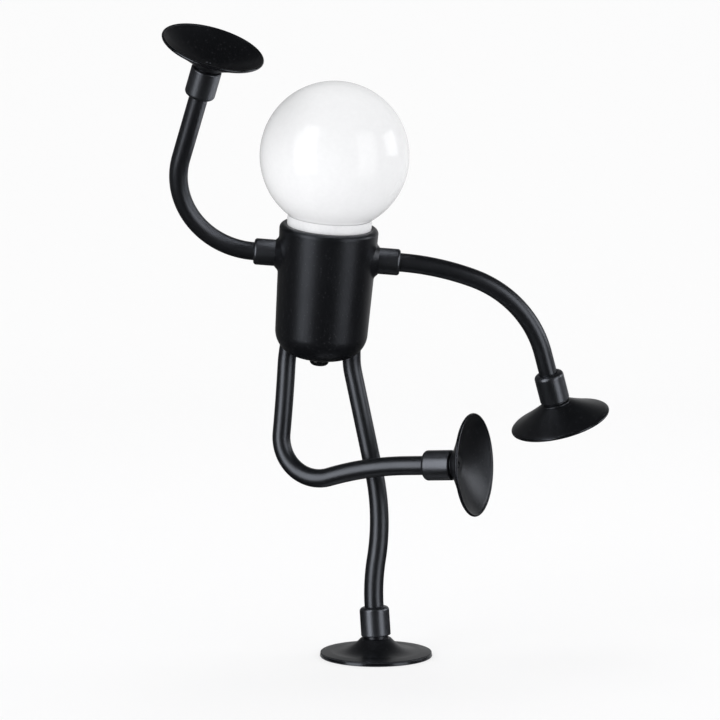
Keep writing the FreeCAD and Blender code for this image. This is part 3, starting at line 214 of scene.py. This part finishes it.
def grained_black(name, dark, light, rough_low, rough_high, grain, depth, **more):
    """A matt black with a fine grain, slow changes in gloss, a few paler specks and smooth worn rims."""
    mat = new_material(name, dark, rough_low, **more)
    shader = mat.node_tree.nodes["Principled BSDF"]
    coords = coordinates(mat)
    fine = noise(mat, coords, grain, 2.0)
    slow = noise(mat, coords, SLOW_CHANGE, 2.0)
    gloss = ranged(mat, slow, "Fac", rough_low, rough_high)
    worn = node(mat, "ShaderNodeAttribute", attribute_name="wear")
    kept = ranged(mat, worn, "Fac", 1.0, WORN_ROUGHNESS, 0.0, 1.0)
    rough = node(mat, "ShaderNodeMath", operation="MULTIPLY")
    link(mat, gloss, "Result", rough, 0)
    link(mat, kept, "Result", rough, 1)
    link(mat, rough, "Value", shader, "Roughness")
    spots = node(mat, "ShaderNodeTexVoronoi")
    spots.inputs["Scale"].default_value = grain * SPECKS_PER_GRAIN
    link(mat, coords, "Object", spots, "Vector")
    mask = ranged(mat, spots, "Distance", 1.0, 0.0, *SPECK_EDGE)
    tint(mat, mask, "Result", dark, light)
    bump(mat, [(fine, "Fac", 1.0), (mask, "Result", 0.6)], 0.35, depth)
    return mat


def plain_finish(name, color, roughness, variation=0.12, grain=900.0, **more):
    mat = new_material(name, color, roughness, **more)
    shader = mat.node_tree.nodes["Principled BSDF"]
    coords = coordinates(mat)
    fine = noise(mat, coords, grain, 3.0)
    slow = noise(mat, coords, 60.0, 2.0)
    gloss = ranged(mat, slow, "Fac", roughness * (1 - variation), roughness * (1 + variation))
    link(mat, gloss, "Result", shader, "Roughness")
    mask = ranged(mat, fine, "Fac", 0.0, 1.0)
    pale = tuple(min(1.0, c * (1 + variation * 0.5) + 0.003) for c in color)
    tint(mat, mask, "Result", tuple(c * (1 - variation * 0.5) for c in color), pale)
    bump(mat, [(fine, "Fac", 1.0)], 0.15, 0.00004)
    return mat


COOL = (0.84, 0.89, 1.0, 1.0)
TORSO_BLACK = grained_black(
    "torso_coat", (0.0045, 0.0048, 0.0058), (0.03, 0.031, 0.034),
    0.31, 0.37, 1100.0, 0.0001, IOR=1.6, Specular_Tint=COOL)
FERRULE_BLACK = grained_black(
    "ferrule_metal", (0.006, 0.0064, 0.0074), (0.035, 0.036, 0.04),
    0.33, 0.4, 1300.0, 0.00009, IOR=2.4, Specular_Tint=COOL)
TUBE_BLACK = grained_black(
    "sleeve_rubber", (0.0045, 0.0048, 0.0058), (0.025, 0.026, 0.029),
    0.34, 0.4, 1300.0, 0.00008, IOR=2.05, Specular_Tint=COOL)
CUP_BLACK = grained_black(
    "cup_rubber", (0.0048, 0.0051, 0.0061), (0.034, 0.035, 0.038),
    0.33, 0.4, 1000.0, 0.00013, IOR=1.7, Specular_Tint=COOL)
BUTTON_BLACK = grained_black(
    "button_black", (0.005, 0.0053, 0.006), (0.02, 0.02, 0.022),
    0.22, 0.28, 1500.0, 0.00003)
OPAL = plain_finish("globe_opal", (0.88, 0.883, 0.888), 0.12, 0.02, 400.0)
COLLAR_WHITE = plain_finish("collar_white", (0.84, 0.845, 0.855), 0.25, 0.05, 600.0)
FINISHES = {
    "torso_coat": TORSO_BLACK,
    "ferrule_metal": FERRULE_BLACK,
    "sleeve_rubber": TUBE_BLACK,
    "cup_rubber": CUP_BLACK,
    "button_black": BUTTON_BLACK,
    "globe_opal": OPAL,
    "collar_white": COLLAR_WHITE,
    "fastener_steel": plain_finish("fastener_steel", (0.55, 0.55, 0.56), 0.3, 0.2, 1500.0, Metallic=1.0),
    "core_metal": plain_finish("core_metal", (0.6, 0.6, 0.61), 0.42, 0.2, 1500.0, Metallic=1.0),
    "plate_aluminium": plain_finish("plate_aluminium", (0.7, 0.7, 0.72), 0.3, 0.2, 1500.0, Metallic=1.0),
    "led_board_white": plain_finish("led_board_white", (0.85, 0.86, 0.86), 0.25),
    "led_yellow": plain_finish("led_yellow", (0.85, 0.72, 0.22), 0.3),
    "seat_plastic": plain_finish("seat_plastic", (0.8, 0.8, 0.79), 0.45),
    "cell_wrap": plain_finish("cell_wrap", (0.05, 0.16, 0.36), 0.3),
    "inner_plastic": plain_finish("inner_plastic", (0.06, 0.06, 0.06), 0.5),
    "contact_brass": plain_finish("contact_brass", (0.72, 0.62, 0.36), 0.3, 0.2, 1500.0, Metallic=1.0),
    "board_green": plain_finish("board_green", (0.03, 0.22, 0.1), 0.3),
    "port_steel": plain_finish("port_steel", (0.5, 0.5, 0.52), 0.3, 0.2, 1500.0, Metallic=1.0),
}


def dress_frame():
    slots = {item["node"]: item["material_slot"] for item in frame["record"]["subparts"]}
    for name, obj in frame["nodes"].items():
        finish = FINISHES[slots[name]]
        if not obj.material_slots:
            obj.data.materials.append(finish)
        for held in obj.material_slots:
            held.material = finish


# Shapes

def new_object(name, verts, faces, mat):
    mesh = bpy.data.meshes.new(name)
    mesh.from_pydata([tuple(v) for v in verts], [], faces)
    mesh.validate()
    obj = bpy.data.objects.new(name, mesh)
    bpy.context.scene.collection.objects.link(obj)
    mesh.materials.append(mat)
    for poly in mesh.polygons:
        poly.use_smooth = True
    return obj


def sharpen(obj, degrees):
    """Marks the edges that turn by more than this many degrees as sharp."""
    bm = bmesh.new()
    bm.from_mesh(obj.data)
    bmesh.ops.recalc_face_normals(bm, faces=bm.faces)
    for edge in bm.edges:
        if len(edge.link_faces) == 2 and edge.calc_face_angle(0.0) > math.radians(degrees):
            edge.smooth = False
    bm.to_mesh(obj.data)
    bm.free()


def walk(route, distance):
    """The point and heading this far along a limb's centre line, in millimetres."""
    point, heading = Vector(route[0]), Vector(route[1])
    for length, turn, axis in route[2]:
        part = min(distance, length)
        if turn:
            spin = Vector(axis).normalized()
            radius = length / math.radians(turn)
            bend = spin.cross(heading)
            angle = part / radius
            point = point + heading * (radius * math.sin(angle)) + bend * (radius * (1 - math.cos(angle)))
            heading = (heading * math.cos(angle) + bend * math.sin(angle)).normalized()
        else:
            point = point + heading * part
        distance -= part
        if distance <= 1e-9:
            break
    return point, heading


def route_length(route):
    return sum(stretch[0] for stretch in route[2])


def eased(value, start, end):
    """From 0 at the start to 1 at the end, smoothly."""
    share = min(1.0, max(0.0, (value - start) / (end - start)))
    return share * share * (3 - 2 * share)


def tube_radius(route, distance):
    (near, first), (far, last) = route[4]
    return first + (last - first) * eased(distance, near, far)


def ring_points(point, heading, side, radius, count):
    other = heading.cross(side).normalized()
    return [point + (side * math.cos(a) + other * math.sin(a)) * radius
            for a in (2 * math.pi * i / count for i in range(count))]


def tube_piece(name, route, start, end):
    """A stretch of soft tube with its bore, closed at both ends."""
    steps = max(3, int((end - start) / TUBE_STEP))
    outer, inner = [], []
    side = None
    for i in range(steps + 1):
        along = start + (end - start) * i / steps
        point, heading = walk(route, along)
        if side is None:
            side = heading.orthogonal()
        side = (side - heading * side.dot(heading)).normalized()
        radius = tube_radius(route, along)
        outer.append(ring_points(point, heading, side, radius, TUBE_SIDES))
        inner.append(ring_points(point, heading, side, radius - TUBE_WALL, TUBE_SIDES))
    loops = outer + inner[::-1]
    verts = [p * MM for loop in loops for p in loop]
    faces = []
    n = TUBE_SIDES
    for a in range(len(loops)):
        b = (a + 1) % len(loops)
        for i in range(n):
            j = (i + 1) % n
            faces.append((a * n + i, a * n + j, b * n + j, b * n + i))
    obj = new_object(name, verts, faces, TUBE_BLACK)
    sharpen(obj, TUBE_SHARP)
    return obj


def dress_limb(limb):
    """Three tube pieces, each of which spans one of the limb's hinges."""
    route = ROUTES[limb]
    bends = route[3]
    cuts = [END_CLEARANCE, (bends[0] + bends[1]) / 2, (bends[1] + bends[2]) / 2,
            route_length(route) - END_CLEARANCE]
    for i, word in enumerate(("root", "middle", "end")):
        piece = tube_piece("%s_tube_%s" % (limb, word), route, cuts[i], cuts[i + 1])
        low = max(bends[i] - BLEND_HALF, cuts[i] + 1.0)
        high = min(bends[i] + BLEND_HALF, cuts[i + 1] - 1.0)
        half = min(bends[i] - low, high - bends[i])
        begin, finish = walk(route, bends[i] - half)[0], walk(route, bends[i] + half)[0]
        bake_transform(piece)
        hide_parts(limb + "_sleeve")


def arc(start, end, radius, steps):
    """Points from start to end on an arc of this radius, which bows to the left if it is positive."""
    (ax, ay), (bx, by) = start, end
    dx, dy = bx - ax, by - ay
    chord = math.hypot(dx, dy)
    half = math.asin(chord / 2 / abs(radius))
    side = 1 if radius > 0 else -1
    points = []
    for i in range(steps + 1):
        angle = half * (2 * i / steps - 1)
        along = 0.5 + math.sin(angle) * abs(radius) / chord
        rise = side * (math.cos(angle) - math.cos(half)) * abs(radius)
        points.append((ax + dx * along - dy / chord * rise, ay + dy * along + dx / chord * rise))
    return points


def rounded(points, radius, steps=5):
    """The same outline with every inner corner rounded by up to this radius."""
    result = [points[0]]
    for before, corner, after in zip(points, points[1:], points[2:]):
        here = Vector(corner)
        back, ahead = Vector(before) - here, Vector(after) - here
        turn = math.pi - back.angle(ahead)
        reach = min(radius * math.tan(turn / 2), back.length * 0.49, ahead.length * 0.49)
        if turn < math.radians(8):
            result.append(corner)
            continue
        first, last = here + back.normalized() * reach, here + ahead.normalized() * reach
        for i in range(steps + 1):
            share = i / steps
            spot = first * (1 - share) ** 2 + here * (2 * share * (1 - share)) + last * share ** 2
            result.append(tuple(spot))
    result.append(points[-1])
    return result


def lathe(name, rings, mat, worn):
    """A closed turned shape from (radius, centre, axis) rings, with a single point at each end.
    The rings from the first number in worn to just before the second are rubbed smooth."""
    verts, faces, rows, wear = [], [], [], []
    for index, (radius, centre, axis) in enumerate(rings):
        first = len(verts)
        if radius < 1e-6:
            verts.append(centre * MM)
            wear.append(0.0)
            rows.append([first] * CUP_SIDES)
            continue
        wear += [1.0 if worn[0] <= index < worn[1] else 0.0] * CUP_SIDES
        side = Vector((0.0, 1.0, 0.0)).cross(axis).normalized()
        verts += [p * MM for p in ring_points(centre, axis, side, radius, CUP_SIDES)]
        rows.append(list(range(first, first + CUP_SIDES)))
    for low, high in zip(rows, rows[1:]):
        for i in range(CUP_SIDES):
            j = (i + 1) % CUP_SIDES
            face = []
            for corner in (low[i], low[j], high[j], high[i]):
                if corner not in face:
                    face.append(corner)
            faces.append(face)
    obj = new_object(name, verts, faces, mat)
    layer = obj.data.attributes.new("wear", "FLOAT", "POINT")
    layer.data.foreach_set("value", wear)
    sharpen(obj, CUP_SHARP)
    return obj


def cup_outline():
    """A relaxed cup's (radius, height) points, from the middle of its neck round its rim to the middle
    of its hollow, and where its worn rim starts and ends among them."""
    outside = rounded([(0.0, -NECK_DEPTH), (NECK_RADIUS, -NECK_DEPTH), (NECK_RADIUS, SHOULDER_HEIGHT),
                       (7.9, SHOULDER_HEIGHT), (8.15, 1.75)], NECK_ROUNDING)
    cone = arc((8.4, 1.83), (26.65, 11.1), CONE_BOW, 14)
    bead = [(BEAD_MIDDLE[0] + BEAD_RADIUS * math.cos(a), BEAD_MIDDLE[1] + BEAD_RADIUS * math.sin(a))
            for a in (math.radians(d) for d in range(-80, 160, 20))]
    rim = bead + [(25.85, 12.3), (25.6, 12.2)]
    hollow = arc((25.3, 12.08), (8.0, 4.25), HOLLOW_BOW, 24)
    floor = rounded([(7.5, 4.05), (5.0, DIMPLE_EDGE_HEIGHT), (1.9, DIMPLE_EDGE_HEIGHT)],
                    FLOOR_ROUNDING, 8)[1:-1]
    floor += rounded([(2.2, DIMPLE_EDGE_HEIGHT), (1.8, DIMPLE_EDGE_HEIGHT),
                      (1.5, DIMPLE_HEIGHT), (0.0, DIMPLE_HEIGHT)], DIMPLE_ROUNDING)
    before = len(outside + cone)
    return outside + cone + rim + hollow + floor, (before + 1, before + len(bead) - 2)


def dress_cup(limb):
    mouth, out = Vector(CUPS[limb][0]), Vector(CUPS[limb][1]).normalized()
    outline, worn = cup_outline()
    piece = lathe(limb + "_suction_cup", [(r, mouth + out * z, out) for r, z in outline], CUP_BLACK, worn)
    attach(piece, limb + "_end")
    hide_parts(limb + "_cup")


def dress_foot():
    """The pressed cup: its neck leans with the ankle, its disc lies flat on the floor."""
    mouth, down = Vector(ANKLE[0]), Vector(ANKLE[1]).normalized()
    up = Vector((0.0, 0.0, 1.0))
    neck = rounded([(0.0, NECK_DEPTH), (NECK_RADIUS, NECK_DEPTH), (NECK_RADIUS, -1.0)], NECK_ROUNDING)
    rings = [(r, mouth - down * z, -down) for r, z in neck]
    top = rounded([(6.6, FOOT_TOP), (8.0, FOOT_TOP), (8.75, 9.4)], FOOT_TOP_ROUNDING)
    flare = arc((8.95, 9.15), (24.8, 2.9), FOOT_FLARE_BOW, 22)
    rim = rounded([(25.5, 2.85), (30.2, 2.42), (30.5, 2.2), (30.3, 1.75), (30.5, 1.6), (30.74, 0.35),
                   (30.5, 0.0), (24.0, 0.0), (23.4, FOOT_HOLLOW_HEIGHT), (0.0, FOOT_HOLLOW_HEIGHT)],
                  FOOT_RIM_ROUNDING)
    before = len(rings + top + flare)
    rings += [(r, Vector((0.0, 0.0, z)), up) for r, z in top + flare + rim]
    edge = [before + i for i, (r, z) in enumerate(rim)
            if r > FOOT_EDGE_RADIUS and z < FOOT_EDGE_HEIGHT]
    piece = lathe("standing_leg_suction_cup", rings, CUP_BLACK, (edge[0], edge[-1]))
    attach(piece, "standing_leg_end")
    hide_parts("standing_leg_cup")


# The camera, the floor and the light

def add_camera():
    data = bpy.data.cameras.new("camera")
    data.lens = CAMERA_LENS
    data.sensor_width = SENSOR
    data.clip_start = 0.01
    data.clip_end = 50.0
    cam = bpy.data.objects.new("camera", data)
    cam.location = CAMERA_PLACE
    cam.rotation_euler = (math.radians(90 - CAMERA_PITCH), 0, 0)
    bpy.context.scene.collection.objects.link(cam)
    bpy.context.scene.camera = cam


PAPER = 1.0
AMBIENT = 0.57

# The paper's own colour makes up the first share of it at the nearer depth and the second at the further.
OWN_SHARES = (0.6, 0.86)
OWN_DEPTHS = (0.2, 1.5)
# How far from the foot's middle the gloss meets the paper, fading out between the two distances.
CONTACT_FADE = (0.0, 0.06)
# The dim wall that the gloss meets behind the lamp: where it starts, its middle, and its glow by distance.
WALL_STARTS = (0.05, 0.4)
WALL_MIDDLE = (0.7, 2.0, 0.2)
WALL_GLOW = (0.6, 0.08)
WALL_REACH = (0.4, 1.8)

# Name, azimuth and elevation in degrees, distance, width, height, strength, and whether the gloss shows it.
SOFTBOXES = (
    ("left_box", -46.0, 12.0, 1.6, 1.0, 2.1, 2.1, True),
    ("right_box", 52.0, 4.0, 1.6, 0.9, 1.9, 1.4, True),
    ("side_box", 100.0, 14.0, 1.7, 0.8, 0.7, 2.0, True),
    ("top_box", 180.0, 68.0, 1.6, 1.2, 1.2, 2.0, False),
    ("left_fill", -110.0, 10.0, 1.8, 1.4, 1.8, 0.7, False),
    ("right_fill", 110.0, 10.0, 1.8, 1.4, 1.8, 0.7, False),
)


def most_of(owner, source, *outs):
    """The largest of several of a node's outputs."""
    total = None
    for out in outs:
        if total is None:
            total = source.outputs[out]
            continue
        both = owner.nodes.new("ShaderNodeMath")
        both.operation = "MAXIMUM"
        owner.links.new(total, both.inputs[0])
        owner.links.new(source.outputs[out], both.inputs[1])
        total = both.outputs[0]
    return total


def stage_material():
    """White paper: part plain diffuse, which takes the shadow, and part its own colour as it is seen.
    Glossy and shadow rays meet the paper only around the foot. Further off they pass through the floor,
    so the gloss shows all of the tall softboxes, and behind the lamp they meet a dim wall."""
    mat = bpy.data.materials.new("stage_paper")
    mat.use_nodes = True
    tree = mat.node_tree
    tree.nodes.clear()
    out = node(mat, "ShaderNodeOutputMaterial")
    matt = node(mat, "ShaderNodeBsdfDiffuse")
    matt.inputs["Color"].default_value = (0.88, 0.88, 0.885, 1)
    glow = node(mat, "ShaderNodeEmission")
    glow.inputs["Color"].default_value = (PAPER, PAPER, PAPER, 1)
    path = node(mat, "ShaderNodeLightPath")
    coords = coordinates(mat)
    place = node(mat, "ShaderNodeSeparateXYZ")
    link(mat, coords, "Object", place, "Vector")
    own = ranged(mat, place, "Y", *OWN_SHARES, *OWN_DEPTHS)
    seen = most_of(tree, path, "Is Camera Ray", "Is Glossy Ray", "Is Transmission Ray")
    share = node(mat, "ShaderNodeMath", operation="MULTIPLY")
    tree.links.new(seen, share.inputs[0])
    link(mat, own, "Result", share, 1)
    paper = node(mat, "ShaderNodeMixShader")
    tree.links.new(share.outputs[0], paper.inputs[0])
    tree.links.new(matt.outputs[0], paper.inputs[1])
    tree.links.new(glow.outputs[0], paper.inputs[2])
    away = node(mat, "ShaderNodeVectorMath", operation="LENGTH")
    link(mat, coords, "Object", away, 0)
    far = ranged(mat, away, "Value", 0.0, 1.0, *CONTACT_FADE)
    hidden = node(mat, "ShaderNodeMath", operation="MULTIPLY")
    link(mat, far, "Result", hidden, 0)
    tree.links.new(most_of(tree, path, "Is Glossy Ray", "Is Shadow Ray"), hidden.inputs[1])
    clear = node(mat, "ShaderNodeBsdfTransparent")
    wall = node(mat, "ShaderNodeEmission")
    wall.inputs["Color"].default_value = (1.0, 1.0, 1.0, 1)
    behind = node(mat, "ShaderNodeVectorMath", operation="DISTANCE")
    behind.inputs[1].default_value = WALL_MIDDLE
    link(mat, coords, "Object", behind, 0)
    link(mat, ranged(mat, behind, "Value", *WALL_GLOW, *WALL_REACH), "Result", wall, "Strength")
    studio = node(mat, "ShaderNodeMixShader")
    tree.links.new(ranged(mat, place, "Y", 0.0, 1.0, *WALL_STARTS).outputs["Result"], studio.inputs[0])
    tree.links.new(clear.outputs[0], studio.inputs[1])
    tree.links.new(wall.outputs[0], studio.inputs[2])
    both = node(mat, "ShaderNodeMixShader")
    tree.links.new(hidden.outputs[0], both.inputs[0])
    tree.links.new(paper.outputs[0], both.inputs[1])
    tree.links.new(studio.outputs[0], both.inputs[2])
    tree.links.new(both.outputs[0], out.inputs["Surface"])
    return mat


def add_stage():
    """A wide floor that curves up into a backdrop behind the lamp."""
    near, bend_at, radius, top, width = -2.4, 1.2, 1.0, 3.2, 4.0
    profile = [(near, 0.0), (bend_at, 0.0)]
    for i in range(1, 25):
        a = math.radians(90 * i / 24)
        profile.append((bend_at + radius * math.sin(a), radius * (1 - math.cos(a))))
    profile.append((bend_at + radius, top))
    verts = []
    for y, z in profile:
        verts += [(-width, y, z), (width, y, z)]
    faces = [(2 * i, 2 * i + 1, 2 * i + 3, 2 * i + 2) for i in range(len(profile) - 1)]
    floor = new_object("stage_floor", verts, faces, stage_material())


def softbox(name, azimuth, elevation, distance, width, height, strength, mirrored):
    """An area lamp that faces the lamp's middle from this direction, and shows in its gloss if mirrored."""
    data = bpy.data.lights.new(name, "AREA")
    data.shape = "RECTANGLE"
    data.size, data.size_y = width, height
    data.energy = strength * width * height * math.pi
    a, e = math.radians(azimuth), math.radians(elevation)
    aim = Vector((-0.01, 0.0, 0.2))
    away = Vector((math.sin(a) * math.cos(e), -math.cos(a) * math.cos(e), math.sin(e)))
    lamp = bpy.data.objects.new(name, data)
    lamp.location = aim + away * distance
    lamp.rotation_euler = away.to_track_quat("Z", "Y").to_euler()
    lamp.visible_glossy = mirrored
    bpy.context.scene.collection.objects.link(lamp)


def add_lights():
    for box in SOFTBOXES:
        softbox(*box)
    world = bpy.data.worlds.new("world")
    bpy.context.scene.world = world
    world.use_nodes = True
    world.cycles_visibility.glossy = False
    tree = world.node_tree
    room = tree.nodes["Background"]
    room.inputs["Color"].default_value = (0.99, 0.99, 1.0, 1)
    room.inputs["Strength"].default_value = AMBIENT
    path = tree.nodes.new("ShaderNodeLightPath")
    paper = tree.nodes.new("ShaderNodeBackground")
    paper.inputs["Color"].default_value = (PAPER, PAPER, PAPER, 1)
    mix = tree.nodes.new("ShaderNodeMixShader")
    tree.links.new(most_of(tree, path, "Is Camera Ray", "Is Transmission Ray"), mix.inputs[0])
    tree.links.new(room.outputs[0], mix.inputs[1])
    tree.links.new(paper.outputs[0], mix.inputs[2])
    tree.links.new(mix.outputs[0], tree.nodes["World Output"].inputs["Surface"])


add_camera()
dress_frame()
for limb_name in ROUTES:
    dress_limb(limb_name)
for limb_name in CUPS:
    dress_cup(limb_name)
dress_foot()
add_stage()
add_lights()
bpy.context.scene.view_settings.view_transform = "Standard"
